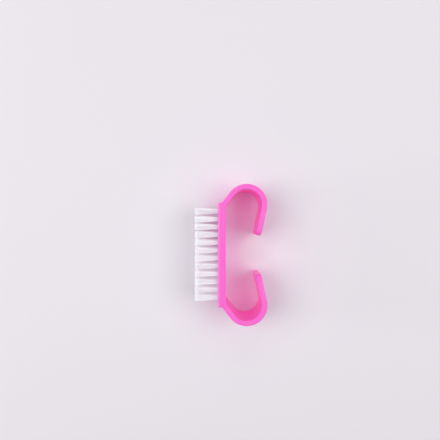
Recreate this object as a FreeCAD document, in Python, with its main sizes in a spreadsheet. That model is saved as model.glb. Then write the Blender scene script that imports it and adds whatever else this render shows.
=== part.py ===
import FreeCAD
import Part
import Sketcher
import math
import os

# A small hand-held nail brush, lying on its side.
# X runs from the bristle tips to the crown of the handle, Y along the brush, Z across its width.
# The origin lies under the middle of the brush, on the side face that it rests on.
#
# The handle is one plastic moulding: a flat base bar with a flat strip curling up and over from
# each end, so that two fingers slip into the open loop between the strips and the bar.
# The bar holds rows of blind holes. In each hole sits a bundle of nylon filaments, folded in half
# round a small flat metal anchor that bites into the hole's wall.

# Driving sizes in millimetres, angles in degrees, and counts
SIZES = {
    # Handle
    "overall_length": 70.0,
    "handle_width": 24.0,
    "handle_rise": 20.5,
    "base_length": 51.6,
    "base_thickness": 3.8,
    "heel_height": 1.9,
    "strip_thickness": 2.7,
    "arm_lean_degrees": 12.5,
    "tip_gap": 18.6,
    # Rounded edges of the handle
    "heel_round": 0.9,
    "crook_round": 1.4,
    "root_round": 4.0,
    "tip_corner_round": 3.0,
    "edge_round": 0.8,
    "inner_edge_bevel": 0.4,
    # Tufts and the holes that hold them
    "bristle_length": 11.7,
    "tufts_per_row": 12,
    "tuft_rows": 4,
    "tuft_ridges": 6,
    "tuft_end_margin": 4.2,
    "tuft_side_margin": 4.5,
    "tuft_tip_gap": 0.2,
    "hole_diameter": 2.0,
    "hole_depth": 2.8,
    "seat_play": 0.03,
    # Flat metal anchors
    "anchor_thickness": 0.35,
    "anchor_height": 1.5,
    "anchor_bite": 0.2,
    "fold_depth": 0.5,
    # The largest part of its wall that a rounding may take
    "heel_round_share": 0.5,
    "crook_round_share": 0.9,
    "edge_round_share": 0.35,
    "tip_corner_share": 0.4,
    # How much of its half width a tuft keeps in the grooves between its ridges
    "groove_share": 0.8,
    # Two places closer than this are the same place
    "match_tolerance": 0.01,
}

# How a sketch numbers the points of a line or arc, and its own axis and origin
START_INDEX = 1
END_INDEX = 2
CENTRE_INDEX = 3
X_AXIS_INDEX = -1
ORIGIN = (X_AXIS_INDEX, START_INDEX)

# Sizes that follow from the driving ones, written for the document's expressions
BASE_TOP = "(dims.bristle_length + dims.base_thickness)"
FULL_HEIGHT = f"({BASE_TOP} + dims.handle_rise)"
LOBE_RADIUS = "(dims.handle_rise / 2)"
ROW_LENGTH = "(dims.base_length - 2 * dims.tuft_end_margin)"
FIELD_WIDTH = "(dims.handle_width - 2 * dims.tuft_side_margin)"
TUFT_PITCH = f"({ROW_LENGTH} / (dims.tufts_per_row - 1))"
ROW_PITCH = f"({FIELD_WIDTH} / (dims.tuft_rows - 1))"
TUFT_RADIUS = "(dims.hole_diameter / 2 - dims.seat_play)"
TIP_RADIUS = f"((min({TUFT_PITCH}; {ROW_PITCH}) - dims.tuft_tip_gap) / 2)"
RIDGE_ANGLE = "(180 deg / dims.tuft_ridges)"
HOLE_CORNER = f"(dims.hole_diameter / 2 / cos({RIDGE_ANGLE}))"
RIDGE_RADIUS = f"({TUFT_RADIUS} / cos({RIDGE_ANGLE}))"
GROOVE_RADIUS = f"({TUFT_RADIUS} * dims.groove_share)"
GROOVE_SIDE = (f"sqrt({RIDGE_RADIUS} ^ 2 + {GROOVE_RADIUS} ^ 2"
               f" - 2 * {RIDGE_RADIUS} * {GROOVE_RADIUS} * cos({RIDGE_ANGLE}))")
SIDE_RADIUS = f"({RIDGE_RADIUS} * {GROOVE_RADIUS} * sin({RIDGE_ANGLE}) / {GROOVE_SIDE})"
ANCHOR_BOTTOM = "(dims.bristle_length + dims.hole_depth - dims.fold_depth)"
ANCHOR_SPAN = "(dims.hole_diameter + 2 * dims.anchor_bite)"


def make_sheet(doc):
    """Put the driving sizes in a spreadsheet, one alias to a size."""
    sheet = doc.addObject("Spreadsheet::Sheet", "dims")
    for row, (name, value) in enumerate(SIZES.items(), start=1):
        sheet.set(f"A{row}", name)
        sheet.set(f"B{row}", str(value))
        sheet.setAlias(f"B{row}", name)
    doc.recompute()
    return sheet


def bind(target, **expressions):
    """Tie properties of an object to the spreadsheet."""
    for name, expression in expressions.items():
        target.setExpression(name, expression)


def place(target, x, y, z):
    """Tie the place of an object to the spreadsheet."""
    for axis, expression in (("x", x), ("y", y), ("z", z)):
        target.setExpression(f"Placement.Base.{axis}", expression)


def origin_feature(body, role):
    """Find one of a body's own planes or axes."""
    return next(item for item in body.Origin.OriginFeatures if item.Role == role)


def add_sketch(body, name, plane):
    """Attach an empty sketch to one of the body's own planes."""
    sketch = body.newObject("Sketcher::SketchObject", name)
    sketch.AttachmentSupport = [(origin_feature(body, plane), "")]
    sketch.MapMode = "FlatFace"
    return sketch


def constrain(sketch, kind, *where):
    """Add a geometric constraint."""
    sketch.addConstraint(Sketcher.Constraint(kind, *where))


def dimension(sketch, name, expression, kind, *where):
    """Add a dimension to a sketch and tie it to the spreadsheet."""
    index = sketch.addConstraint(Sketcher.Constraint(kind, *where))
    sketch.renameConstraint(index, name)
    sketch.setExpression(f"Constraints.{name}", expression)


def draw_chain(sketch, points):
    """Draw a closed chain of straight lines through the points, joined end to end."""
    vectors = [FreeCAD.Vector(x, y, 0) for x, y in points]
    count = len(vectors)
    lines = []
    for index, start in enumerate(vectors):
        end = vectors[(index + 1) % count]
        lines.append(sketch.addGeometry(Part.LineSegment(start, end)))
    for index, line in enumerate(lines):
        constrain(sketch, "Coincident", line, END_INDEX, lines[(index + 1) % count], START_INDEX)
    return lines


def draw_box(sketch, low, high):
    """Draw a rectangle and return its lower, right, upper and left lines."""
    lines = draw_chain(sketch, [low, (high[0], low[1]), high, (low[0], high[1])])
    for line in lines[0::2]:
        constrain(sketch, "Horizontal", line)
    for line in lines[1::2]:
        constrain(sketch, "Vertical", line)
    return lines


def draw_ring(sketch, centre, radii, expressions, count):
    """Draw an outline whose corners are spaced evenly and lie in turn on circles of those radii.

    One radius gives a regular polygon and two give a star. Returns the first circle.
    """
    middle = FreeCAD.Vector(*centre, 0)
    circles = []
    for index, (radius, expression) in enumerate(zip(radii, expressions)):
        circle = sketch.addGeometry(Part.Circle(middle, FreeCAD.Vector(0, 0, 1), radius), True)
        dimension(sketch, f"radius_{index}", expression, "Radius", circle, radius)
        circles.append(circle)
    for circle in circles[1:]:
        constrain(sketch, "Coincident", circle, CENTRE_INDEX, circles[0], CENTRE_INDEX)
    corners = []
    for corner in range(count):
        turn = 2 * math.pi * corner / count
        radius = radii[corner % len(radii)]
        corners.append((middle.x + radius * math.cos(turn), middle.y + radius * math.sin(turn)))
    lines = draw_chain(sketch, corners)
    for corner, line in enumerate(lines):
        constrain(sketch, "PointOnObject", line, START_INDEX, circles[corner % len(circles)])
    for line in lines[1:]:
        constrain(sketch, "Equal", lines[0], line)
    constrain(sketch, "Horizontal", circles[0], CENTRE_INDEX, lines[0], START_INDEX)
    return circles[0]


def draw_handle_half(sketch, size):
    """Draw half of the handle's side outline, from the middle of the bar round to the arm's tip.

    Returns the corners that are rounded later: heel, crook, root and the tip's two corners.
    """
    underside = size["bristle_length"]
    base_top = underside + size["base_thickness"]
    outer = size["handle_rise"] / 2
    inner = outer - size["strip_thickness"]
    lean = math.radians(size["arm_lean_degrees"])
    centre = FreeCAD.Vector(base_top + outer, size["overall_length"] / 2 - outer, 0)
    half_base = size["base_length"] / 2
    crook = FreeCAD.Vector(underside + size["heel_height"], half_base, 0)

    # The leg leaves the bar's end on the line that touches the lobe's outer round
    away = crook - centre
    leg_angle = math.atan2(away.y, away.x) - math.acos(outer / away.Length)

    def on_lobe(radius, angle):
        return centre + FreeCAD.Vector(math.cos(angle), math.sin(angle), 0) * radius

    leg_outer = on_lobe(outer, leg_angle)
    leg_inner = on_lobe(inner, leg_angle)
    arm_outer = on_lobe(outer, -lean)
    arm_inner = on_lobe(inner, -lean)
    reach = (arm_outer.y - size["tip_gap"] / 2) / math.cos(lean)
    along_arm = FreeCAD.Vector(-math.sin(lean), -math.cos(lean), 0) * reach
    along_leg = leg_outer - crook
    root = leg_inner - along_leg * ((leg_inner.x - base_top) / along_leg.x)

    def line(start, end):
        return sketch.addGeometry(Part.LineSegment(start, end))

    def lobe(radius):
        circle = Part.Circle(centre, FreeCAD.Vector(0, 0, 1), radius)
        return sketch.addGeometry(Part.ArcOfCircle(circle, -lean, leg_angle))

    g_under = line(FreeCAD.Vector(underside, 0, 0), FreeCAD.Vector(underside, half_base, 0))
    g_end = line(FreeCAD.Vector(underside, half_base, 0), crook)
    g_leg = line(crook, leg_outer)
    g_lobe = lobe(outer)
    g_arm = line(arm_outer, arm_outer + along_arm)
    g_tip = line(arm_outer + along_arm, arm_inner + along_arm)
    g_arm_in = line(arm_inner + along_arm, arm_inner)
    g_lobe_in = lobe(inner)
    g_leg_in = line(leg_inner, root)
    g_top = line(root, FreeCAD.Vector(base_top, 0, 0))
    g_middle = line(FreeCAD.Vector(base_top, 0, 0), FreeCAD.Vector(underside, 0, 0))

    joined = [(g_under, g_end), (g_end, g_leg), (g_arm, g_tip), (g_tip, g_arm_in),
              (g_leg_in, g_top), (g_top, g_middle), (g_middle, g_under)]
    for first, second in joined:
        constrain(sketch, "Coincident", first, END_INDEX, second, START_INDEX)
    constrain(sketch, "Tangent", g_leg, END_INDEX, g_lobe, END_INDEX)
    constrain(sketch, "Tangent", g_arm, START_INDEX, g_lobe, START_INDEX)
    constrain(sketch, "Tangent", g_arm_in, END_INDEX, g_lobe_in, START_INDEX)
    constrain(sketch, "Tangent", g_leg_in, START_INDEX, g_lobe_in, END_INDEX)
    constrain(sketch, "Coincident", g_lobe_in, CENTRE_INDEX, g_lobe, CENTRE_INDEX)
    constrain(sketch, "Vertical", g_under)
    constrain(sketch, "Vertical", g_top)
    constrain(sketch, "Horizontal", g_end)
    constrain(sketch, "PointOnObject", g_under, START_INDEX, X_AXIS_INDEX)
    constrain(sketch, "PointOnObject", g_top, END_INDEX, X_AXIS_INDEX)
    constrain(sketch, "Parallel", g_leg, g_leg_in)
    constrain(sketch, "Parallel", g_arm, g_arm_in)
    constrain(sketch, "Perpendicular", g_arm, g_tip)

    def distance(name, expression, kind, *where):
        dimension(sketch, name, expression, kind, *where)

    distance("underside", "dims.bristle_length", "DistanceX", *ORIGIN, g_under, START_INDEX, underside)
    distance("thickness", "dims.base_thickness", "DistanceX", g_under, START_INDEX, g_top, END_INDEX,
             size["base_thickness"])
    distance("half_base", "dims.base_length / 2", "DistanceY", g_under, START_INDEX,
             g_under, END_INDEX, half_base)
    distance("heel", "dims.heel_height", "DistanceX", g_end, START_INDEX, g_end, END_INDEX,
             size["heel_height"])
    distance("lobe_x", f"{BASE_TOP} + {LOBE_RADIUS}", "DistanceX", *ORIGIN, g_lobe, CENTRE_INDEX, centre.x)
    distance("lobe_y", f"dims.overall_length / 2 - {LOBE_RADIUS}", "DistanceY", *ORIGIN,
             g_lobe, CENTRE_INDEX, centre.y)
    distance("lobe_outer", LOBE_RADIUS, "Radius", g_lobe, outer)
    distance("lobe_inner", f"{LOBE_RADIUS} - dims.strip_thickness", "Radius", g_lobe_in, inner)
    distance("half_gap", "dims.tip_gap / 2", "DistanceY", *ORIGIN, g_arm, END_INDEX, size["tip_gap"] / 2)
    distance("lean", "(-90 - dims.arm_lean_degrees) * 1 deg", "Angle", g_arm, -math.pi / 2 - lean)
    heel = FreeCAD.Vector(underside, half_base, 0)
    return heel, crook, root, arm_outer + along_arm, arm_inner + along_arm


def runs_across(edge, corner, near):
    """Tell whether an edge runs straight across the width at a corner of the outline, on either half."""
    first = edge.Vertexes[0].Point
    last = edge.Vertexes[-1].Point
    upright = math.hypot(first.x - last.x, first.y - last.y) < near < abs(first.z - last.z)
    return upright and math.hypot(first.x - corner.x, abs(first.y) - corner.y) < near


def on_side_face(edge, width, near):
    """Tell whether an edge lies in one of the two flat side faces."""
    box = edge.BoundBox
    flat = box.ZLength < near
    return flat and (abs(box.ZMin) < near or abs(box.ZMax - width) < near)


def ends_at(edge, corner, near):
    """Tell whether one end of an edge lies over a corner of the outline, on either half."""
    gaps = [math.hypot(v.Point.x - corner.x, abs(v.Point.y) - corner.y) for v in edge.Vertexes]
    return min(gaps) < near


def level_edge(edge, level, near):
    """Tell whether an edge runs straight along the brush at one height over the bristle tips."""
    box = edge.BoundBox
    return box.XLength < near and abs(box.XMin - level) < near


def ease_edges(body, kind, name, expressions, wanted):
    """Round or bevel the edges of the last feature that pass a test, and all that run on from them."""
    base = body.Tip
    names = [f"Edge{i}" for i, edge in enumerate(base.Shape.Edges, start=1) if wanted(edge)]
    if not names:
        raise RuntimeError(f"{name} finds no edge")
    eased = body.newObject(f"PartDesign::{kind}", name)
    eased.Base = (base, names)
    bind(eased, **expressions)
    body.Tip = eased
    body.Document.recompute()


def cut_tuft_holes(body, size):
    """Sink the blind tuft holes, each with the slit that its anchor cuts in the hole's wall."""
    doc = body.Document
    corner = (-size["base_length"] / 2 + size["tuft_end_margin"], size["tuft_side_margin"])
    half_slit = size["anchor_thickness"] / 2 + size["seat_play"]
    half_span = size["hole_diameter"] / 2 + size["anchor_bite"] + size["seat_play"]
    to_end = "dims.base_length / 2 - dims.tuft_end_margin"

    hole = add_sketch(body, "tuft_hole_outline", "YZ_Plane")
    bind(hole, **{"AttachmentOffset.Base.z": "dims.bristle_length"})
    reach = size["hole_diameter"] / 2 / math.cos(math.pi / size["tuft_ridges"])
    guide = draw_ring(hole, corner, [reach], [HOLE_CORNER], size["tuft_ridges"])
    dimension(hole, "along", to_end, "DistanceX", guide, CENTRE_INDEX, *ORIGIN, -corner[0])
    dimension(hole, "across", "dims.tuft_side_margin", "DistanceY", *ORIGIN, guide, CENTRE_INDEX, corner[1])

    slit = add_sketch(body, "anchor_slit_outline", "YZ_Plane")
    bind(slit, **{"AttachmentOffset.Base.z": "dims.bristle_length"})
    low = (corner[0] - half_slit, corner[1] - half_span)
    high = (corner[0] + half_slit, corner[1] + half_span)
    sides = draw_box(slit, low, high)
    slit_width = "dims.anchor_thickness / 2 + dims.seat_play"
    slit_span = f"{ANCHOR_SPAN} / 2 + dims.seat_play"
    dimension(slit, "left", f"{to_end} + {slit_width}", "DistanceX",
              sides[0], START_INDEX, *ORIGIN, -low[0])
    dimension(slit, "wide", f"2 * ({slit_width})", "DistanceX", sides[0], START_INDEX, sides[0], END_INDEX,
              2 * half_slit)
    dimension(slit, "low", f"dims.tuft_side_margin - ({slit_span})", "DistanceY", *ORIGIN,
              sides[0], START_INDEX, low[1])
    dimension(slit, "high", f"2 * ({slit_span})", "DistanceY", sides[1], START_INDEX, sides[1], END_INDEX,
              2 * half_span)

    cuts = []
    depths = (("tuft_hole", hole, "dims.hole_depth"),
              ("anchor_slit", slit, "dims.hole_depth - dims.fold_depth"))
    for name, outline, depth in depths:
        before = body.Tip.Shape.Volume
        cut = body.newObject("PartDesign::Pocket", name)
        cut.Profile = outline
        cut.Reversed = True
        bind(cut, Length=depth)
        body.Tip = cut
        doc.recompute()
        if not cut.Shape.Volume < before:
            raise RuntimeError(f"{name} cuts nothing")
        cuts.append(cut)

    pattern = body.newObject("PartDesign::LinearPattern", "tuft_hole_field")
    pattern.Originals = cuts
    pattern.Direction = (origin_feature(body, "Y_Axis"), [""])
    pattern.Direction2 = (origin_feature(body, "Z_Axis"), [""])
    bind(pattern, Length=ROW_LENGTH, Occurrences="dims.tufts_per_row",
         Length2=FIELD_WIDTH, Occurrences2="dims.tuft_rows")
    body.Tip = pattern
    doc.recompute()


def make_handle(doc, size):
    """Mould the handle: the base bar and its two curled finger strips, in one piece."""
    body = doc.addObject("PartDesign::Body", "handle")
    place(body, f"-{FULL_HEIGHT} / 2", "0", "0")
    near = size["match_tolerance"]
    width = size["handle_width"]

    outline = add_sketch(body, "handle_outline", "XY_Plane")
    heel, crook, root, tip_outer, tip_inner = draw_handle_half(outline, size)
    pad = body.newObject("PartDesign::Pad", "handle_strip")
    pad.Profile = outline
    bind(pad, Length="dims.handle_width")
    body.Tip = pad
    doc.recompute()
    if not outline.FullyConstrained:
        raise RuntimeError("The handle's outline isn't fully constrained")

    mirrored = body.newObject("PartDesign::Mirrored", "handle_both_halves")
    mirrored.Originals = [pad]
    mirrored.MirrorPlane = (origin_feature(body, "XZ_Plane"), [""])
    body.Tip = mirrored
    doc.recompute()

    def round_edges(name, radius, wanted):
        ease_edges(body, "Fillet", name, {"Radius": radius}, wanted)

    round_edges("heel_rounds", "min(dims.heel_round; dims.heel_height * dims.heel_round_share)",
                lambda edge: runs_across(edge, heel, near))
    round_edges("crook_rounds", "min(dims.crook_round; dims.heel_height * dims.crook_round_share)",
                lambda edge: runs_across(edge, crook, near))
    round_edges("root_rounds", "dims.root_round",
                lambda edge: runs_across(edge, root, near))
    round_edges("tip_corners", "min(dims.tip_corner_round; dims.handle_width * dims.tip_corner_share)",
                lambda edge: on_side_face(edge, width, near)
                and ends_at(edge, tip_outer, near) and ends_at(edge, tip_inner, near))

    # The outer edge of the moulding is one smooth run from arm tip to arm tip, and so is the inner one
    round_edges("outer_edges", "min(dims.edge_round; dims.strip_thickness * dims.edge_round_share)",
                lambda edge: on_side_face(edge, width, near) and level_edge(edge, heel.x, near))
    bevel = "min(dims.inner_edge_bevel; dims.strip_thickness * dims.edge_round_share)"
    ease_edges(body, "Chamfer", "inner_edges", {"Size": bevel},
               lambda edge: on_side_face(edge, width, near) and level_edge(edge, root.x, near))
    cut_tuft_holes(body, size)
    return body


def tuft_y(index):
    """Place of a tuft along its row, counted from zero at the low end."""
    return f"{index} * {TUFT_PITCH} - {ROW_LENGTH} / 2"


def row_z(index):
    """Place of a row across the width, counted from zero at the face that the brush rests on."""
    return f"dims.tuft_side_margin + {index} * {ROW_PITCH}"


def make_tuft(doc, name, along, across, size):
    """Gather one tuft: a root that fills its hole, splayed bristles and a window for the anchor.

    Ridges and grooves stand for the separate filaments. The tuft's own X is zero at its hole's mouth.
    """
    body = doc.addObject("PartDesign::Body", name)
    place(body, f"dims.bristle_length - {FULL_HEIGHT} / 2", along, across)
    near = size["match_tolerance"]

    half = size["hole_diameter"] / 2 - size["seat_play"]
    ridge = half / math.cos(math.pi / size["tuft_ridges"])
    groove = half * size["groove_share"]
    fan = add_sketch(body, f"{name}_fan", "YZ_Plane")
    guide = draw_ring(fan, (0, 0), [ridge, groove], [RIDGE_RADIUS, GROOVE_RADIUS], 2 * size["tuft_ridges"])
    constrain(fan, "Coincident", guide, CENTRE_INDEX, *ORIGIN)
    bristles = body.newObject("PartDesign::Pad", f"{name}_bristles")
    bristles.Profile = fan
    bristles.Reversed = True
    bind(bristles, Length="dims.bristle_length")
    body.Tip = bristles
    doc.recompute()

    boxes = {f"Face{i}": face.BoundBox for i, face in enumerate(bristles.Shape.Faces, start=1)}
    mouth = [face for face, box in boxes.items() if box.XLength < near and abs(box.XMax) < near]
    sides = [face for face, box in boxes.items() if box.XLength > near]
    splay = body.newObject("PartDesign::Draft", f"{name}_splay")
    splay.Base = (bristles, sides)
    splay.NeutralPlane = (bristles, mouth)
    bind(splay, Angle=f"atan(({TIP_RADIUS} / {RIDGE_RADIUS} - 1) * {SIDE_RADIUS} / dims.bristle_length)")
    body.Tip = splay

    plug = add_sketch(body, f"{name}_plug", "YZ_Plane")
    guide = draw_ring(plug, (0, 0), [ridge], [RIDGE_RADIUS], size["tuft_ridges"])
    constrain(plug, "Coincident", guide, CENTRE_INDEX, *ORIGIN)
    root = body.newObject("PartDesign::Pad", f"{name}_root")
    root.Profile = plug
    bind(root, Length="dims.hole_depth - dims.seat_play")
    body.Tip = root

    window = add_sketch(body, f"{name}_fold", "XY_Plane")
    half = size["anchor_thickness"] / 2 + size["seat_play"]
    deep = size["hole_depth"] - size["fold_depth"] + size["seat_play"]
    tall = size["anchor_height"] + 2 * size["seat_play"]
    edges = draw_box(window, (deep - tall, -half), (deep, half))
    dimension(window, "deep", "dims.hole_depth - dims.fold_depth + dims.seat_play", "DistanceX", *ORIGIN,
              edges[1], START_INDEX, deep)
    dimension(window, "tall", "dims.anchor_height + 2 * dims.seat_play", "DistanceX",
              edges[0], START_INDEX, edges[0], END_INDEX, tall)
    dimension(window, "half", "dims.anchor_thickness / 2 + dims.seat_play", "DistanceY",
              edges[1], START_INDEX, *ORIGIN, half)
    dimension(window, "wide", "dims.anchor_thickness + 2 * dims.seat_play", "DistanceY",
              edges[1], START_INDEX, edges[1], END_INDEX, 2 * half)
    cut = body.newObject("PartDesign::Pocket", f"{name}_window")
    cut.Profile = window
    cut.SideType = "Symmetric"
    cut.Type = "ThroughAll"
    body.Tip = cut
    return body


def make_anchor_row(doc, row, size):
    """Cut the flat metal anchors of one row and set them in their slits."""
    anchors = []
    for index in range(size["tufts_per_row"]):
        anchor = doc.addObject("Part::Box", f"anchor_row{row + 1}_{index + 1:02d}")
        bind(anchor, Length="dims.anchor_height", Width="dims.anchor_thickness", Height=ANCHOR_SPAN)
        place(anchor,
              f"{ANCHOR_BOTTOM} - dims.anchor_height - {FULL_HEIGHT} / 2",
              f"{tuft_y(index)} - dims.anchor_thickness / 2",
              f"{row_z(row)} - {ANCHOR_SPAN} / 2")
        anchors.append(anchor)
    group = doc.addObject("Part::Compound", f"anchors_row_{row + 1}")
    group.Links = anchors
    return group


def check(doc, pieces):
    """Stop if an object failed or a piece's solid isn't sound."""
    for item in doc.Objects:
        if "Invalid" in item.State or "Error" in item.State:
            raise RuntimeError(f"{item.Label} failed: {item.State}")
    for piece in pieces:
        if piece.Shape.isNull() or not piece.Shape.isValid():
            raise RuntimeError(f"{piece.Label} isn't a sound solid")


def main():
    doc = FreeCAD.newDocument("nail_brush")
    make_sheet(doc)
    size = SIZES
    pieces = [make_handle(doc, size)]
    for row in range(size["tuft_rows"]):
        for index in range(size["tufts_per_row"]):
            name = f"tuft_row{row + 1}_{index + 1:02d}"
            pieces.append(make_tuft(doc, name, tuft_y(index), row_z(row), size))
        pieces.append(make_anchor_row(doc, row, size))
    # The sides of a tuft lean out only on the second pass, once the mouth that they turn about is there
    doc.recompute()
    doc.recompute()
    check(doc, pieces)

    os.makedirs("parts", exist_ok=True)
    for piece in pieces:
        piece.Shape.exportStep(f"parts/{piece.Label}.step")
    print(f"{len(pieces)} pieces, {sum(len(piece.Shape.Solids) for piece in pieces)} solids")


main()
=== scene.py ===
import math
import random
from types import SimpleNamespace

import bmesh
import bpy
from bpy.props import FloatProperty, FloatVectorProperty, IntProperty, PointerProperty
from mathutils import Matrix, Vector


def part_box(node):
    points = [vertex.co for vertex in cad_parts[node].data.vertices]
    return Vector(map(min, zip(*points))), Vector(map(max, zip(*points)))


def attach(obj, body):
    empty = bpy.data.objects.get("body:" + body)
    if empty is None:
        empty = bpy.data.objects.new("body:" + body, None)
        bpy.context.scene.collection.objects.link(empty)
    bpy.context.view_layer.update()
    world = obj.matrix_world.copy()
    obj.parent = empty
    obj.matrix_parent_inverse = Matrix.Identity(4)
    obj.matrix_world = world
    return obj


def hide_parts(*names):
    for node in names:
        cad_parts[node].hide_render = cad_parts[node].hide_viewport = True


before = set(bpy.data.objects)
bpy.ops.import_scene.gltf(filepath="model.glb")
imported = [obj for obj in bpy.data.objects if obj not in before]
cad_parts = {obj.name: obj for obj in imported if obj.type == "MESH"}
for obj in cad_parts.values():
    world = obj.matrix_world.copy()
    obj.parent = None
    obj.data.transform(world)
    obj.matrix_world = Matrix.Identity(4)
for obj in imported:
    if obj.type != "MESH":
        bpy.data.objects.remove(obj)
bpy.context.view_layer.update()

bl_info = {
    "name": "Nail Brush",
    "version": (1, 0, 0),
    "blender": (4, 5, 0),
    "location": "View3D > Sidebar > Nail Brush",
    "description": "Models a small nail brush with a curled finger handle, and lights it",
    "category": "Object",
}

# The brush lies on its side. X runs from the bristle tips to the crown of the handle,
# Y along the brush and Z across its width. Lengths are in metres.
MM = 0.001

# Places closer than this are the same place, and points closer than the weld become one point
NEAR = 0.01 * MM
WELD = 0.001 * MM
# Decimals by which the rows of tufts are told apart
PLACE_DIGITS = 6

HANDLE_LOW, HANDLE_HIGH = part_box("handle")
TUFT_NODES = sorted(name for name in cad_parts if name.startswith("tuft_row"))
ANCHOR_NODES = sorted(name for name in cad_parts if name.startswith("anchors_row"))
TUFT_BOXES = {name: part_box(name) for name in TUFT_NODES}
TIPS_X = min(low.x for low, high in TUFT_BOXES.values())
ROOTS_X = max(high.x for low, high in TUFT_BOXES.values())
MOUTH_X = HANDLE_LOW.x
MIDDLE_Z = (HANDLE_LOW.z + HANDLE_HIGH.z) / 2

# Counts that set how smooth the round shapes are
LOBE_STEPS = 40
TIP_CORNER_STEPS = 10
CORNER_STEPS = 6
OUTER_EDGE_STEPS = 5
INNER_EDGE_STEPS = 3
HOLE_SIDES = 24
FILAMENT_SIDES = 6
FILAMENT_STEPS = 5

# Edges of the strip that turn by more than this are rounded
STRIP_EDGE_TURN = math.radians(60)
# Edges that turn by more than these show as edges
HANDLE_SMOOTH_TURN = math.radians(32)
FILAMENT_SMOOTH_TURN = math.radians(65)
# How much more large faces count in the handle's shading than small ones, where 50 is even
FACE_WEIGHT = 80

# Sizes of the patterns in the materials, and depths of their relief
FLOW_SIZE = 9 * MM
WAVE_SIZE = 6 * MM
WAVE_DEPTH = 0.08 * MM
PEBBLE_SIZE = 0.35 * MM
PEBBLE_DEPTH = 0.006 * MM
STREAK_SIZE = 1.2 * MM
ROLL_SIZE = 0.1 * MM
ROLL_DEPTH = 0.005 * MM
ROLL_STRETCH = 10
FIBRE_SIZE = 0.6 * MM
FIBRE_DEPTH = 0.02 * MM
# How far light soaks into the handle and into a filament
HANDLE_SOAK = 2.0 * MM
FILAMENT_SOAK = 0.2 * MM

# Each soft light's name, its place, the side of its square and the setting that holds its power
LIGHTS = (
    ("left_light", (-0.4, 0.05, 0.64), 0.5, "side_light"),
    ("right_light", (0.4, 0.05, 0.64), 0.5, "side_light"),
    ("top_light", (0.0, 0.6, 0.6), 0.5, "top_light"),
    ("fill_light", (-0.7, 0.0, 0.1), 0.2, "fill_light"),
)
CAMERA_CLIP = 1 * MM


def linear(hex_colour):
    """Turn an sRGB hex colour into linear values."""
    channels = [int(hex_colour[start:start + 2], 16) / 255 for start in (1, 3, 5)]
    return tuple(c / 12.92 if c <= 0.04045 else ((c + 0.055) / 1.055) ** 2.4 for c in channels)


def length(name, description, millimetres):
    """Describe a length that the sidebar shows in the scene's unit."""
    return FloatProperty(name=name, description=description, default=millimetres * MM, min=0.0,
                         precision=5, subtype="DISTANCE", unit="LENGTH")


def colour(name, description, hex_colour):
    """Describe a colour that the sidebar shows as a swatch."""
    return FloatVectorProperty(name=name, description=description, default=linear(hex_colour),
                               min=0.0, max=1.0, size=3, subtype="COLOR")


def power(name, description, watts):
    """Describe the power of a light."""
    return FloatProperty(name=name, description=description, default=watts, min=0.0,
                         subtype="POWER", unit="POWER")


def strength(name, description, value):
    """Describe how strong a glow or a surround is, where 1 is white."""
    return FloatProperty(name=name, description=description, default=value, min=0.0)


def curve(name, description, exponent):
    """Describe the power of a curve, where 1 is a straight line."""
    return FloatProperty(name=name, description=description, default=exponent, min=0.1, max=1.0)


class HandleSettings(bpy.types.PropertyGroup):
    """Sizes and colours of the moulded handle."""

    bar_length: length("Bar length", "Length of the flat bar that holds the bristles", 51.6)
    bar_thickness: length("Bar thickness", "Thickness of the bar", 3.8)
    heel_height: length("Heel height", "Height of the bar's end below the leg", 1.9)
    strip_thickness: length("Strip thickness", "Thickness of the legs, lobes and arms", 2.7)
    arm_lean: FloatProperty(name="Arm lean", description="How far each arm dips towards the bar",
                            default=math.radians(12.5), subtype="ANGLE", unit="ROTATION")
    tip_gap: length("Tip gap", "Opening between the two arm tips", 18.6)
    heel_round: length("Heel round", "Radius along the bar's lower end", 0.9)
    crook_round: length("Crook round", "Radius where the leg leaves the bar's end", 1.4)
    root_round: length("Root round", "Radius where the leg meets the top of the bar", 4.0)
    tip_corner_round: length("Tip corners", "Radius of the arm tip's corners", 3.0)
    outer_edge_round: length("Outer edges", "Radius along the outer edges", 0.8)
    inner_edge_round: length("Inner edges", "Radius along the inner edges", 0.4)
    hole_diameter: length("Hole diameter", "Diameter of a tuft hole", 2.0)
    hole_depth: length("Hole depth", "Depth of a tuft hole", 2.8)
    hole_flare: length("Hole flare", "Softened lip at the mouth of a tuft hole", 0.08)
    slit_play: length("Slit play", "Room round an anchor in its slit", 0.03)
    parting_width: length("Parting line width", "Width of the mould's parting line", 0.16)
    parting_depth: length("Parting line depth", "Depth of the mould's parting line", 0.04)
    pink: colour("Pink", "Colour of the plastic", "#EF72D8")
    deep_pink: colour("Deep pink", "Colour of the plastic where the pigment is denser", "#EB69CF")
    # Painted glow: the plastic emits this pink to stand in for light that comes through it, though it is
    # no lamp
    painted_glow: colour("Glow", "Colour of the light that comes through the plastic", "#FF4080")
    painted_glow_strength: strength("Glow strength", "Strength of the light through the plastic", 0.17)


class BristleSettings(bpy.types.PropertyGroup):
    """Sizes and colours of the bristle tufts."""

    filament_diameter: length("Filament diameter", "Diameter of one nylon filament", 0.15)
    packing: length("Packing", "Distance between filaments in a hole", 0.155)
    wall_room: length("Wall room", "Room between the filaments and the hole's wall", 0.02)
    tip_spread: length("Spread", "Half the width of a tuft at its tip", 1.74)
    crowding: curve("Crowding", "Power that draws the tips out to a tuft's sides", 0.85)
    splay: curve("Splay", "Power of the curve on which a tuft widens towards its tip", 0.7)
    stray: length("Stray", "How far a tip strays from its place", 0.18)
    bow: length("Bow", "How far a filament bows sideways", 0.14)
    trim: length("Trim", "How unevenly the tips are trimmed", 0.12)
    cut_round: length("Cut round", "How far the cut end of a filament is rounded", 0.03)
    seed: IntProperty(name="Seed", description="Start of the random draws", default=7)
    white: colour("White", "Colour of the nylon", "#FCFAFD")
    shade: colour("Shade", "Colour of the dullest filaments", "#F0EDF4")
    # Painted glow: the filaments emit white to stand in for light passed on inside a tuft, though they
    # are no lamp
    painted_glow_strength: strength("Glow strength", "Strength of the light passed on inside a tuft", 0.1)


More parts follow.
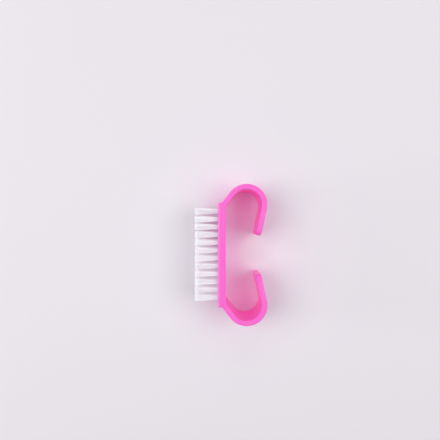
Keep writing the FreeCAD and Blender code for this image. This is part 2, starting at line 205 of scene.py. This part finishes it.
class AnchorSettings(bpy.types.PropertyGroup):
    """Colour of the flat metal anchors."""

    steel: colour("Steel", "Colour of the cut strip", "#B9BABD")


class StageSettings(bpy.types.PropertyGroup):
    """Floor, lights and camera."""

    floor_size: length("Floor size", "Side of the floor", 3000.0)
    floor: colour("Floor", "Colour of the floor", "#F4F0F6")
    fade_start: length("Fade start", "Distance from the brush where the floor starts to fade", 100.0)
    fade_end: length("Fade end", "Distance from the brush where the floor has become the room", 450.0)
    side_light: power("Side lights", "Power of each of the two soft lights at the sides", 2.1)
    top_light: power("Top light", "Power of the soft light past the far end", 0.5)
    fill_light: power("Fill light", "Power of the low light that shines in along the bristles", 1.0)
    surround: strength("Surround", "Strength of the light from all round", 0.27)
    background: colour("Background", "Colour of the room behind the floor", "#F2EFF4")
    camera_x: FloatProperty(name="Camera X", description="Place of the camera over the brush",
                            default=-5.4 * MM, subtype="DISTANCE", unit="LENGTH")
    camera_y: FloatProperty(name="Camera Y", description="Place of the camera along the brush",
                            default=17.2 * MM, subtype="DISTANCE", unit="LENGTH")
    camera_height: length("Camera height", "Height of the camera over the floor", 240.0)
    view_width: length("View width", "Width of the picture at the brush's near face", 215.6)


def start_piece(name, add, **settings):
    """Add a primitive as a new object with its place in its mesh, and open it for editing."""
    bpy.ops.object.select_all(action="DESELECT")
    add(**settings)
    piece = bpy.context.object
    piece.name = name
    piece.data.name = name
    bpy.ops.object.transform_apply(location=True, rotation=True, scale=True)
    bpy.ops.object.mode_set(mode="EDIT")
    return piece


def select(kind, test):
    """Select only those vertices, edges or faces of the open mesh that pass a test."""
    bpy.ops.mesh.select_mode(type={"verts": "VERT", "edges": "EDGE", "faces": "FACE"}[kind])
    bpy.ops.mesh.select_all(action="DESELECT")
    mesh = bpy.context.edit_object.data
    work = bmesh.from_edit_mesh(mesh)
    found = [item for item in getattr(work, kind) if test(item)]
    if not found:
        raise RuntimeError(f"No {kind} to select on {mesh.name}")
    for item in found:
        item.select_set(True)
    work.select_flush_mode()
    bmesh.update_edit_mesh(mesh)


def extrude(x, y):
    """Extrude what is selected along a vector in the plane of the handle's outline."""
    bpy.ops.mesh.extrude_region_move(TRANSFORM_OT_translate={"value": (x, y, 0.0)})


def apply_modifier(piece, kind, **settings):
    """Add a modifier to a piece with those settings, and apply it."""
    bpy.context.view_layer.objects.active = piece
    bpy.ops.object.modifier_add(type=kind)
    modifier = piece.modifiers[-1]
    for name, value in settings.items():
        setattr(modifier, name, value)
    bpy.ops.object.modifier_apply(modifier=modifier.name)


def add_node(tree, kind, inputs=None, **settings):
    """Add a node, with its settings and with values or links for its inputs."""
    node = tree.nodes.new(kind)
    for name, value in settings.items():
        setattr(node, name, value)
    for name, value in (inputs or {}).items():
        if isinstance(value, bpy.types.NodeSocket):
            tree.links.new(value, node.inputs[name])
        else:
            node.inputs[name].default_value = value
    return node


def new_material(name):
    """Start a material and return it with its empty node tree."""
    material = bpy.data.materials.new(name)
    material.use_nodes = True
    material.node_tree.nodes.clear()
    return material, material.node_tree


def dress(piece, material):
    """Give a piece its material."""
    piece.data.materials.clear()
    piece.data.materials.append(material)


def moulded_polypropylene(settings):
    """Injection-moulded polypropylene: an even, slightly see-through pink with a soft gloss.

    The eye gets broad, slightly wavy reflections from the mould's polished steel, a fine pebble
    that blurs them, and light that soaks in and lifts the edges. The faint glow is painted light:
    an emission that stands in for the light that comes through the thin strips and colours the
    inside of the loops.
    """
    material, tree = new_material("moulded_polypropylene")
    place = add_node(tree, "ShaderNodeTexCoord").outputs["Object"]
    flow = add_node(tree, "ShaderNodeTexNoise", {
        "Vector": place, "Scale": 1 / FLOW_SIZE, "Detail": 2.0})
    pebble = add_node(tree, "ShaderNodeTexNoise", {
        "Vector": place, "Scale": 1 / PEBBLE_SIZE, "Detail": 2.0})
    wave = add_node(tree, "ShaderNodeTexNoise", {
        "Vector": place, "Scale": 1 / WAVE_SIZE, "Detail": 1.0})
    tint = add_node(tree, "ShaderNodeMix", {
        "Factor": flow.outputs["Fac"], "A": (*settings.deep_pink, 1.0), "B": (*settings.pink, 1.0),
    }, data_type="RGBA")
    gloss = add_node(tree, "ShaderNodeMapRange", {
        "Value": pebble.outputs["Fac"], "To Min": 0.26, "To Max": 0.36})
    waves = add_node(tree, "ShaderNodeBump", {
        "Height": wave.outputs["Fac"], "Strength": 0.35, "Distance": WAVE_DEPTH})
    grain = add_node(tree, "ShaderNodeBump", {
        "Height": pebble.outputs["Fac"], "Strength": 0.15, "Distance": PEBBLE_DEPTH,
        "Normal": waves.outputs["Normal"]})
    plastic = add_node(tree, "ShaderNodeBsdfPrincipled", {
        "Base Color": tint.outputs["Result"], "Roughness": gloss.outputs["Result"], "IOR": 1.49,
        "Subsurface Weight": 0.45, "Subsurface Radius": (1.0, 0.35, 0.7),
        "Subsurface Scale": HANDLE_SOAK,
        # The emission paints a pink glow that stands in for light coming through the plastic
        "Emission Color": (*settings.painted_glow, 1.0), "Emission Strength": settings.painted_glow_strength,
        "Normal": grain.outputs["Normal"]})
    add_node(tree, "ShaderNodeOutputMaterial", {"Surface": plastic.outputs["BSDF"]})
    return material


def nylon_filament(settings):
    """Drawn nylon filament: milky white, smooth along its length and a little see-through.

    The eye gets a soft white bundle, with each filament a shade lighter or duller than its
    neighbours. The faint glow is painted light: an emission that stands in for the light that
    filaments pass on to each other inside a tuft.
    """
    material, tree = new_material("nylon_filament")
    place = add_node(tree, "ShaderNodeTexCoord").outputs["Object"]
    tone = add_node(tree, "ShaderNodeAttribute", attribute_name="tone")
    streak = add_node(tree, "ShaderNodeTexNoise", {
        "Vector": place, "Scale": 1 / STREAK_SIZE, "Detail": 1.0})
    tint = add_node(tree, "ShaderNodeMix", {
        "Factor": tone.outputs["Fac"], "A": (*settings.white, 1.0), "B": (*settings.shade, 1.0),
    }, data_type="RGBA")
    gloss = add_node(tree, "ShaderNodeMapRange", {
        "Value": streak.outputs["Fac"], "To Min": 0.34, "To Max": 0.48})
    nylon = add_node(tree, "ShaderNodeBsdfPrincipled", {
        "Base Color": tint.outputs["Result"], "Roughness": gloss.outputs["Result"], "IOR": 1.53,
        "Subsurface Weight": 0.25, "Subsurface Radius": (1.0, 1.0, 1.0),
        "Subsurface Scale": FILAMENT_SOAK,
        # The emission paints a white glow that lifts the shade between the filaments
        "Emission Color": (*settings.white, 1.0), "Emission Strength": settings.painted_glow_strength})
    add_node(tree, "ShaderNodeOutputMaterial", {"Surface": nylon.outputs["BSDF"]})
    return material


def cut_steel_strip(settings):
    """Flat steel strip, rolled and cut to length: a dull grey sheen drawn out along the roll."""
    material, tree = new_material("cut_steel_strip")
    place = add_node(tree, "ShaderNodeTexCoord").outputs["Object"]
    along_roll = add_node(tree, "ShaderNodeMapping", {
        "Vector": place, "Scale": (1.0, 1.0, 1 / ROLL_STRETCH)})
    rolled = add_node(tree, "ShaderNodeTexNoise", {
        "Vector": along_roll.outputs["Vector"], "Scale": 1 / ROLL_SIZE, "Detail": 2.0})
    gloss = add_node(tree, "ShaderNodeMapRange", {
        "Value": rolled.outputs["Fac"], "To Min": 0.28, "To Max": 0.5})
    lines = add_node(tree, "ShaderNodeBump", {
        "Height": rolled.outputs["Fac"], "Strength": 0.3, "Distance": ROLL_DEPTH})
    steel = add_node(tree, "ShaderNodeBsdfPrincipled", {
        "Base Color": (*settings.steel, 1.0), "Metallic": 1.0, "Roughness": gloss.outputs["Result"],
        "Normal": lines.outputs["Normal"]})
    add_node(tree, "ShaderNodeOutputMaterial", {"Surface": steel.outputs["BSDF"]})
    return material


def seen_ray(tree):
    """Tell a look from the eye, a reflection or a clear piece apart from light that falls."""
    ray = add_node(tree, "ShaderNodeLightPath")
    looks = add_node(tree, "ShaderNodeMath", {
        0: ray.outputs["Is Camera Ray"], 1: ray.outputs["Is Glossy Ray"]}, operation="MAXIMUM")
    seen = add_node(tree, "ShaderNodeMath", {
        0: looks.outputs["Value"], 1: ray.outputs["Is Transmission Ray"]}, operation="MAXIMUM")
    return seen.outputs["Value"]


def seamless_paper(settings):
    """Matt photo backdrop paper: an even pale tone with no gloss, which melts into the room far off."""
    material, tree = new_material("seamless_paper")
    place = add_node(tree, "ShaderNodeTexCoord").outputs["Object"]
    fibre = add_node(tree, "ShaderNodeTexNoise", {
        "Vector": place, "Scale": 1 / FIBRE_SIZE, "Detail": 3.0})
    tooth = add_node(tree, "ShaderNodeBump", {
        "Height": fibre.outputs["Fac"], "Strength": 0.1, "Distance": FIBRE_DEPTH})
    paper = add_node(tree, "ShaderNodeBsdfPrincipled", {
        "Base Color": (*settings.floor, 1.0), "Roughness": 0.9, "Specular IOR Level": 0.2,
        "Normal": tooth.outputs["Normal"]})
    distance = add_node(tree, "ShaderNodeVectorMath", {0: place}, operation="LENGTH")
    fade = add_node(tree, "ShaderNodeMapRange", {
        "Value": distance.outputs["Value"],
        "From Min": settings.fade_start, "From Max": settings.fade_end,
    }, interpolation_type="SMOOTHSTEP")
    share = add_node(tree, "ShaderNodeMath", {
        0: fade.outputs["Result"], 1: seen_ray(tree)}, operation="MULTIPLY")
    room = add_node(tree, "ShaderNodeEmission", {"Color": (*settings.background, 1.0)})
    mixed = add_node(tree, "ShaderNodeMixShader", {
        0: share.outputs["Value"], 1: paper.outputs["BSDF"], 2: room.outputs["Emission"]})
    add_node(tree, "ShaderNodeOutputMaterial", {"Surface": mixed.outputs["Shader"]})
    return material


def studio_surround(settings):
    """Soft light from all round, and a pale room where the eye or a reflection looks past the floor."""
    world = bpy.data.worlds.new("studio_surround")
    world.use_nodes = True
    tree = world.node_tree
    tree.nodes.clear()
    lit = add_node(tree, "ShaderNodeBackground", {
        "Color": (1.0, 1.0, 1.0, 1.0), "Strength": settings.surround})
    room = add_node(tree, "ShaderNodeBackground", {"Color": (*settings.background, 1.0)})
    mixed = add_node(tree, "ShaderNodeMixShader", {
        0: seen_ray(tree), 1: lit.outputs["Background"], 2: room.outputs["Background"]})
    add_node(tree, "ShaderNodeOutputWorld", {"Surface": mixed.outputs["Shader"]})
    return world


def handle_outline(sizes):
    """Work out the corners of the handle's side outline, on the half towards +Y."""
    bar_top = MOUTH_X + sizes.bar_thickness
    outer = (HANDLE_HIGH.x - bar_top) / 2
    inner = outer - sizes.strip_thickness
    centre = Vector((bar_top + outer, HANDLE_HIGH.y - outer))
    heel = Vector((MOUTH_X, sizes.bar_length / 2))
    crook = heel + Vector((sizes.heel_height, 0.0))

    # The leg leaves the crook on the line that touches the lobe's outer round
    away = crook - centre
    leg_angle = math.atan2(away.y, away.x) - math.acos(outer / away.length)
    spoke = Vector((math.cos(leg_angle), math.sin(leg_angle)))
    leg = centre + spoke * outer - crook
    leg_inner = centre + spoke * inner
    root = leg_inner - leg * ((leg_inner.x - bar_top) / leg.x)

    arm_spoke = Vector((math.cos(sizes.arm_lean), -math.sin(sizes.arm_lean)))
    arm_outer = centre + arm_spoke * outer
    reach = (arm_outer.y - sizes.tip_gap / 2) / math.cos(sizes.arm_lean)
    arm = Vector((-math.sin(sizes.arm_lean), -math.cos(sizes.arm_lean))) * reach
    tip = (arm_outer + arm, centre + arm_spoke * inner + arm)
    return SimpleNamespace(centre=centre, heel=heel, crook=crook, root=root, leg=leg, leg_inner=leg_inner,
                           sweep=leg_angle + sizes.arm_lean, arm=arm, tip=tip)


def stands_on(vert, corner):
    """Tell whether a vertex stands over a corner of the outline, on either half."""
    return math.hypot(vert.co.x - corner.x, abs(vert.co.y) - corner.y) < NEAR


def runs_across(edge, corner):
    """Tell whether an edge runs straight across the width at a corner of the outline, on either half."""
    first, second = edge.verts
    return stands_on(first, corner) and (first.co - second.co).xy.length < NEAR


def bend_strip(outline, sizes):
    """Model half of the handle: the bar, and the strip that curls up and over from its end."""
    width = HANDLE_HIGH.z - HANDLE_LOW.z
    piece = start_piece("moulded_handle", bpy.ops.mesh.primitive_cube_add, size=1.0,
                        location=(MOUTH_X + sizes.bar_thickness / 2, outline.heel.y / 2, MIDDLE_Z),
                        scale=(sizes.bar_thickness, outline.heel.y, width))

    # The corner between crook and root is cut off, and the leg grows from the cut
    cut = (outline.root - outline.crook).normalized()
    bpy.ops.mesh.select_all(action="SELECT")
    bpy.ops.mesh.bisect(plane_co=(*outline.crook, 0.0), plane_no=(-cut.y, cut.x, 0.0),
                        use_fill=True, clear_outer=True)
    select("faces", lambda face: all(abs(vert.co.y) < NEAR for vert in face.verts))
    bpy.ops.mesh.delete(type="FACE")
    select("verts", lambda vert: abs(vert.co.x - MOUTH_X) < NEAR or stands_on(vert, outline.crook))
    bpy.ops.object.vertex_group_assign_new()
    piece.vertex_groups.active.name = "outer"

    select("faces", lambda face: all(stands_on(vert, outline.crook) or stands_on(vert, outline.root)
                                     for vert in face.verts))
    extrude(*outline.leg)
    select("verts", lambda vert: stands_on(vert, outline.root + outline.leg))
    bpy.ops.transform.translate(value=(*(outline.leg_inner - outline.root - outline.leg), 0.0))
    select("faces", lambda face: all(stands_on(vert, outline.crook + outline.leg)
                                     or stands_on(vert, outline.leg_inner) for vert in face.verts))
    bpy.ops.mesh.spin(steps=LOBE_STEPS, angle=outline.sweep, center=(*outline.centre, 0.0),
                      axis=(0.0, 0.0, 1.0))
    extrude(*outline.arm)
    select("edges", lambda edge: all(any(stands_on(vert, corner) for vert in edge.verts)
                                     for corner in outline.tip))
    bpy.ops.mesh.bevel(offset=sizes.tip_corner_round, segments=TIP_CORNER_STEPS, affect="EDGES")
    bpy.ops.object.mode_set(mode="OBJECT")
    apply_modifier(piece, "MIRROR", use_axis=(False, True, False), use_clip=True)
    return piece


def round_corners(outline, sizes):
    """Round the corners of the outline where heels, legs and bar meet."""
    # Roundings come out clean only where no edge crosses the side faces, so bar and legs become one face
    select("edges", lambda edge: all(abs(vert.co.y) < NEAR for vert in edge.verts)
           or all(any(stands_on(vert, corner) for vert in edge.verts)
                  for corner in (outline.crook, outline.root)))
    bpy.ops.mesh.dissolve_edges()

    # A bevel is set back from its corner by the radius times the tangent of half the turn
    leg_turn = math.atan2(outline.leg.y, outline.leg.x)
    corners = ((outline.heel, sizes.heel_round, math.pi / 2),
               (outline.crook, sizes.crook_round, leg_turn),
               (outline.root, sizes.root_round, math.pi / 2 - leg_turn))
    for corner, radius, turn in corners:
        select("edges", lambda edge: runs_across(edge, corner))
        bpy.ops.mesh.bevel(offset=radius * math.tan(turn / 2), segments=CORNER_STEPS, affect="EDGES")


def round_long_edges(piece, outside, radius, steps):
    """Round the long edges on the outside or on the inside of the strip."""
    group = piece.vertex_groups["outer"].index
    layer = bmesh.from_edit_mesh(piece.data).verts.layers.deform.verify()

    def is_outside(vert):
        return round(vert[layer].get(group, 0.0)) == 1

    select("edges", lambda edge: edge.calc_face_angle(0.0) > STRIP_EDGE_TURN
           and all(is_outside(vert) == outside for vert in edge.verts))
    bpy.ops.mesh.bevel(offset=radius, segments=steps, affect="EDGES")


def draw_parting_line(sizes):
    """Sink a fine line round the middle of the handle, where the halves of its mould met."""
    for side in (-1, 1):
        bpy.ops.mesh.select_all(action="SELECT")
        bpy.ops.mesh.bisect(plane_co=(0.0, 0.0, MIDDLE_Z + side * sizes.parting_width / 2),
                            plane_no=(0.0, 0.0, 1.0))
    select("faces", lambda face: all(abs(vert.co.z - MIDDLE_Z) < sizes.parting_width
                                     for vert in face.verts))
    bpy.ops.mesh.extrude_region_shrink_fatten(
        TRANSFORM_OT_shrink_fatten={"value": -sizes.parting_depth, "use_even_offset": True})


def soften_handle(piece, outline, sizes):
    """Round the corners of the outline and the long edges of the strip, and draw the parting line."""
    bpy.ops.object.mode_set(mode="EDIT")
    bpy.ops.mesh.select_all(action="SELECT")
    bpy.ops.mesh.remove_doubles(threshold=WELD)
    bpy.ops.mesh.normals_make_consistent(inside=False)
    round_corners(outline, sizes)
    round_long_edges(piece, True, sizes.outer_edge_round, OUTER_EDGE_STEPS)
    round_long_edges(piece, False, sizes.inner_edge_round, INNER_EDGE_STEPS)
    draw_parting_line(sizes)
    bpy.ops.object.mode_set(mode="OBJECT")


def cut_field(piece, cutter):
    """Cut one shape into the handle at every tuft, and remove the cutter."""
    centres = [(low + high) / 2 for low, high in TUFT_BOXES.values()]
    along = sorted({round(centre.y, PLACE_DIGITS) for centre in centres})
    across = sorted({round(centre.z, PLACE_DIGITS) for centre in centres})
    for count, step in ((len(along), (0.0, along[1] - along[0], 0.0)),
                        (len(across), (0.0, 0.0, across[1] - across[0]))):
        apply_modifier(cutter, "ARRAY", count=count, use_relative_offset=False,
                       use_constant_offset=True, constant_offset_displace=step)
    apply_modifier(piece, "BOOLEAN", operation="DIFFERENCE", solver="EXACT", object=cutter)
    bpy.data.objects.remove(cutter, do_unlink=True)


def cut_tuft_holes(piece, sizes):
    """Sink the tuft holes with their softened lips, and the slits that the anchors cut."""
    low, high = TUFT_BOXES[TUFT_NODES[0]]
    middle = (low + high) / 2
    radius = sizes.hole_diameter / 2
    lip_x = MOUTH_X + sizes.hole_flare
    depth = sizes.hole_depth - sizes.hole_flare
    drill = start_piece("hole_drill", bpy.ops.mesh.primitive_cylinder_add, vertices=HOLE_SIDES,
                        radius=radius, depth=depth, rotation=(0.0, math.pi / 2, 0.0),
                        location=(lip_x + depth / 2, middle.y, middle.z))
    select("faces", lambda face: all(vert.co.x < lip_x + NEAR for vert in face.verts))
    # The flare runs on past the bar's face, so that none of its edges lies in that face
    extrude(-2 * sizes.hole_flare, 0.0)
    flare = 1 + 2 * sizes.hole_flare / radius
    bpy.ops.transform.resize(value=(1.0, flare, flare), center_override=middle)
    bpy.ops.object.mode_set(mode="OBJECT")
    cut_field(piece, drill)

    anchor_low, anchor_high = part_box(ANCHOR_NODES[0])
    span = anchor_high.z - anchor_low.z + 2 * sizes.slit_play
    thickness = 2 * (middle.y - anchor_low.y + sizes.slit_play)
    reach = anchor_high.x - MOUTH_X + sizes.hole_flare + sizes.slit_play
    blade = start_piece("slit_blade", bpy.ops.mesh.primitive_cube_add, size=1.0,
                        location=(anchor_high.x + sizes.slit_play - reach / 2, middle.y, middle.z),
                        scale=(reach, thickness, span))
    bpy.ops.object.mode_set(mode="OBJECT")
    cut_field(piece, blade)


class NAILBRUSH_OT_mould_handle(bpy.types.Operator):
    """Model the handle: the bar and its two curled strips, with holes for the tufts"""

    bl_idname = "nail_brush.mould_handle"
    bl_label = "Mould Handle"

    def execute(self, context):
        sizes = context.scene.nail_brush_handle
        outline = handle_outline(sizes)
        piece = bend_strip(outline, sizes)
        soften_handle(piece, outline, sizes)
        cut_tuft_holes(piece, sizes)
        bpy.ops.object.select_all(action="DESELECT")
        piece.select_set(True)
        context.view_layer.objects.active = piece
        bpy.ops.object.shade_smooth_by_angle(angle=HANDLE_SMOOTH_TURN)
        apply_modifier(piece, "WEIGHTED_NORMAL", keep_sharp=True, weight=FACE_WEIGHT)
        piece.vertex_groups.clear()
        dress(piece, moulded_polypropylene(sizes))
        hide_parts("handle")
        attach(piece, "root")
        return {"FINISHED"}


def model_filament(sizes):
    """Model one filament along its hole and out to its trimmed tip, slightly bowed."""
    radius = sizes.filament_diameter / 2
    piece = start_piece("filament", bpy.ops.mesh.primitive_circle_add, vertices=FILAMENT_SIDES,
                        radius=radius, fill_type="NGON", location=(ROOTS_X, 0.0, 0.0),
                        rotation=(0.0, -math.pi / 2, 0.0))
    extrude(MOUTH_X - ROOTS_X, 0.0)
    step = (MOUTH_X - TIPS_X - sizes.cut_round) / FILAMENT_STEPS
    bows = [sizes.bow * math.sin(math.pi * index / FILAMENT_STEPS) for index in range(FILAMENT_STEPS + 1)]
    for before, after in zip(bows, bows[1:]):
        extrude(-step, after - before)
    extrude(-sizes.cut_round, 0.0)
    rounded = 1 - sizes.cut_round / radius
    bpy.ops.transform.resize(value=(1.0, rounded, rounded), center_override=(TIPS_X, 0.0, 0.0))
    bpy.ops.mesh.select_all(action="SELECT")
    bpy.ops.mesh.normals_make_consistent(inside=False)
    bpy.ops.object.mode_set(mode="OBJECT")
    bpy.ops.object.shade_smooth_by_angle(angle=FILAMENT_SMOOTH_TURN)
    bpy.ops.geometry.attribute_add(name="tone", domain="POINT", data_type="FLOAT")
    return piece


def root_places(sizes, hole_diameter):
    """Pack filaments into a hole in two bundles, one on each side of the anchor.

    Also give half the gap between the bundles, and how far from the middle a filament can stand.
    """
    anchor_low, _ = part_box(ANCHOR_NODES[0])
    tuft_low, tuft_high = TUFT_BOXES[TUFT_NODES[0]]
    anchor_half = (tuft_low.y + tuft_high.y) / 2 - anchor_low.y
    radius = sizes.filament_diameter / 2
    reach = hole_diameter / 2 - radius - sizes.wall_room
    # Layers lie as far apart as the rows of a honeycomb
    layer_step = sizes.packing * math.sin(math.pi / 3)
    nearest = anchor_half + radius
    places = []
    for side in (-1, 1):
        for layer in range(int((reach - nearest) / layer_step) + 1):
            along = nearest + layer * layer_step
            half = math.sqrt(reach ** 2 - along ** 2)
            count = int(2 * half / sizes.packing) + 1
            across = [(index - (count - 1) / 2) * sizes.packing for index in range(count)]
            places += [Vector((side * along, offset)) for offset in across]
    return places, nearest - layer_step / 2, reach


def gather_tuft(name, node, filament, packed, sizes, chance):
    """Copy the filament into one tuft, splayed from its hole to its tips."""
    places, half_gap, reach = packed
    low, high = TUFT_BOXES[node]
    middle = (low + high) / 2
    work = bmesh.new()
    for place in places:
        first = len(work.verts)
        work.from_mesh(filament.data)
        work.verts.ensure_lookup_table()
        tone_layer = work.verts.layers.float["tone"]
        side = math.copysign(1.0, place.x)
        closed = Vector((side * (abs(place.x) - half_gap) / (reach - half_gap), place.y / reach))
        spread = closed.normalized() * closed.length ** sizes.crowding * sizes.tip_spread
        turn = chance.uniform(0.0, 2 * math.pi)
        stray = Vector((math.cos(turn), math.sin(turn))) * chance.uniform(0.0, sizes.stray)
        roll = chance.uniform(0.0, 2 * math.pi)
        short = 1 - chance.uniform(0.0, sizes.trim) / (MOUTH_X - TIPS_X)
        tone = chance.random()
        for vert in work.verts[first:]:
            share = max(0.0, (MOUTH_X - vert.co.x) / (MOUTH_X - TIPS_X))
            shift = place + (spread + stray - place) * share ** sizes.splay
            y, z = vert.co.y, vert.co.z
            if share > 0:
                vert.co.x = MOUTH_X - (MOUTH_X - vert.co.x) * short
            vert.co.y = middle.y + shift.x + y * math.cos(roll) - z * math.sin(roll)
            vert.co.z = middle.z + shift.y + y * math.sin(roll) + z * math.cos(roll)
            vert[tone_layer] = tone
    mesh = bpy.data.meshes.new(name)
    work.to_mesh(mesh)
    work.free()
    piece = bpy.data.objects.new(name, mesh)
    bpy.context.collection.objects.link(piece)
    return piece


class NAILBRUSH_OT_set_tufts(bpy.types.Operator):
    """Model one nylon filament and set bundles of it in the bar's holes"""

    bl_idname = "nail_brush.set_tufts"
    bl_label = "Set Tufts"

    def execute(self, context):
        sizes = context.scene.nail_brush_bristles
        chance = random.Random(sizes.seed)
        filament = model_filament(sizes)
        packed = root_places(sizes, context.scene.nail_brush_handle.hole_diameter)
        nylon = nylon_filament(sizes)
        for node in TUFT_NODES:
            piece = gather_tuft(node.replace("tuft", "bristles"), node, filament, packed, sizes, chance)
            dress(piece, nylon)
            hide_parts(node)
            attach(piece, "root")
        bpy.data.objects.remove(filament, do_unlink=True)
        return {"FINISHED"}


class NAILBRUSH_OT_finish_anchors(bpy.types.Operator):
    """Give the flat metal anchors in the holes their steel"""

    bl_idname = "nail_brush.finish_anchors"
    bl_label = "Finish Anchors"

    def execute(self, context):
        steel = cut_steel_strip(context.scene.nail_brush_anchors)
        for node in ANCHOR_NODES:
            dress(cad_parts[node], steel)
        return {"FINISHED"}


def add_light(name, place, size, watts):
    """Hang a square soft light that faces the middle of the brush."""
    bpy.ops.object.light_add(type="AREA", location=place)
    light = bpy.context.object
    light.name = name
    away = Vector((0.0, 0.0, MIDDLE_Z)) - Vector(place)
    light.rotation_euler = away.to_track_quat("-Z", "Y").to_euler()
    light.data.size = size
    light.data.energy = watts


class NAILBRUSH_OT_set_stage(bpy.types.Operator):
    """Lay the floor, hang the lights and set the camera straight above the brush"""

    bl_idname = "nail_brush.set_stage"
    bl_label = "Set Stage"

    def execute(self, context):
        settings = context.scene.nail_brush_stage
        floor = start_piece("floor", bpy.ops.mesh.primitive_plane_add, size=settings.floor_size,
                            location=(0.0, 0.0, HANDLE_LOW.z))
        bpy.ops.object.mode_set(mode="OBJECT")
        floor.data.materials.append(seamless_paper(settings))

        for name, place, size, setting in LIGHTS:
            add_light(name, place, size, getattr(settings, setting))
        context.scene.world = studio_surround(settings)
        context.scene.view_settings.view_transform = "Standard"

        bpy.ops.object.camera_add(location=(settings.camera_x, settings.camera_y, settings.camera_height),
                                  rotation=(0.0, 0.0, 0.0))
        camera = context.object
        camera.name = "camera"
        camera.data.sensor_fit = "HORIZONTAL"
        distance = settings.camera_height - HANDLE_HIGH.z
        camera.data.angle = 2 * math.atan(settings.view_width / 2 / distance)
        camera.data.clip_start = CAMERA_CLIP
        context.scene.camera = camera
        return {"FINISHED"}


class NAILBRUSH_PT_panel(bpy.types.Panel):
    """Lists the steps that make the nail brush, with their sizes and colours"""

    bl_idname = "NAILBRUSH_PT_panel"
    bl_label = "Nail Brush"
    bl_space_type = "VIEW_3D"
    bl_region_type = "UI"
    bl_category = "Nail Brush"

    def draw(self, context):
        for operator, owner in STEPS:
            box = self.layout.box()
            box.operator(operator.bl_idname)
            settings = getattr(context.scene, owner)
            for name in settings.__annotations__:
                box.prop(settings, name)


STEPS = (
    (NAILBRUSH_OT_mould_handle, "nail_brush_handle"),
    (NAILBRUSH_OT_set_tufts, "nail_brush_bristles"),
    (NAILBRUSH_OT_finish_anchors, "nail_brush_anchors"),
    (NAILBRUSH_OT_set_stage, "nail_brush_stage"),
)
SETTINGS = {
    "nail_brush_handle": HandleSettings,
    "nail_brush_bristles": BristleSettings,
    "nail_brush_anchors": AnchorSettings,
    "nail_brush_stage": StageSettings,
}
CLASSES = (*SETTINGS.values(), *(operator for operator, owner in STEPS), NAILBRUSH_PT_panel)


def register():
    for item in CLASSES:
        bpy.utils.register_class(item)
    for name, group in SETTINGS.items():
        setattr(bpy.types.Scene, name, PointerProperty(type=group))


def unregister():
    for name in SETTINGS:
        delattr(bpy.types.Scene, name)
    for item in reversed(CLASSES):
        bpy.utils.unregister_class(item)


def main():
    register()
    bpy.ops.nail_brush.mould_handle()
    bpy.ops.nail_brush.set_tufts()
    bpy.ops.nail_brush.finish_anchors()
    bpy.ops.nail_brush.set_stage()


if __name__ == "__main__":
    main()
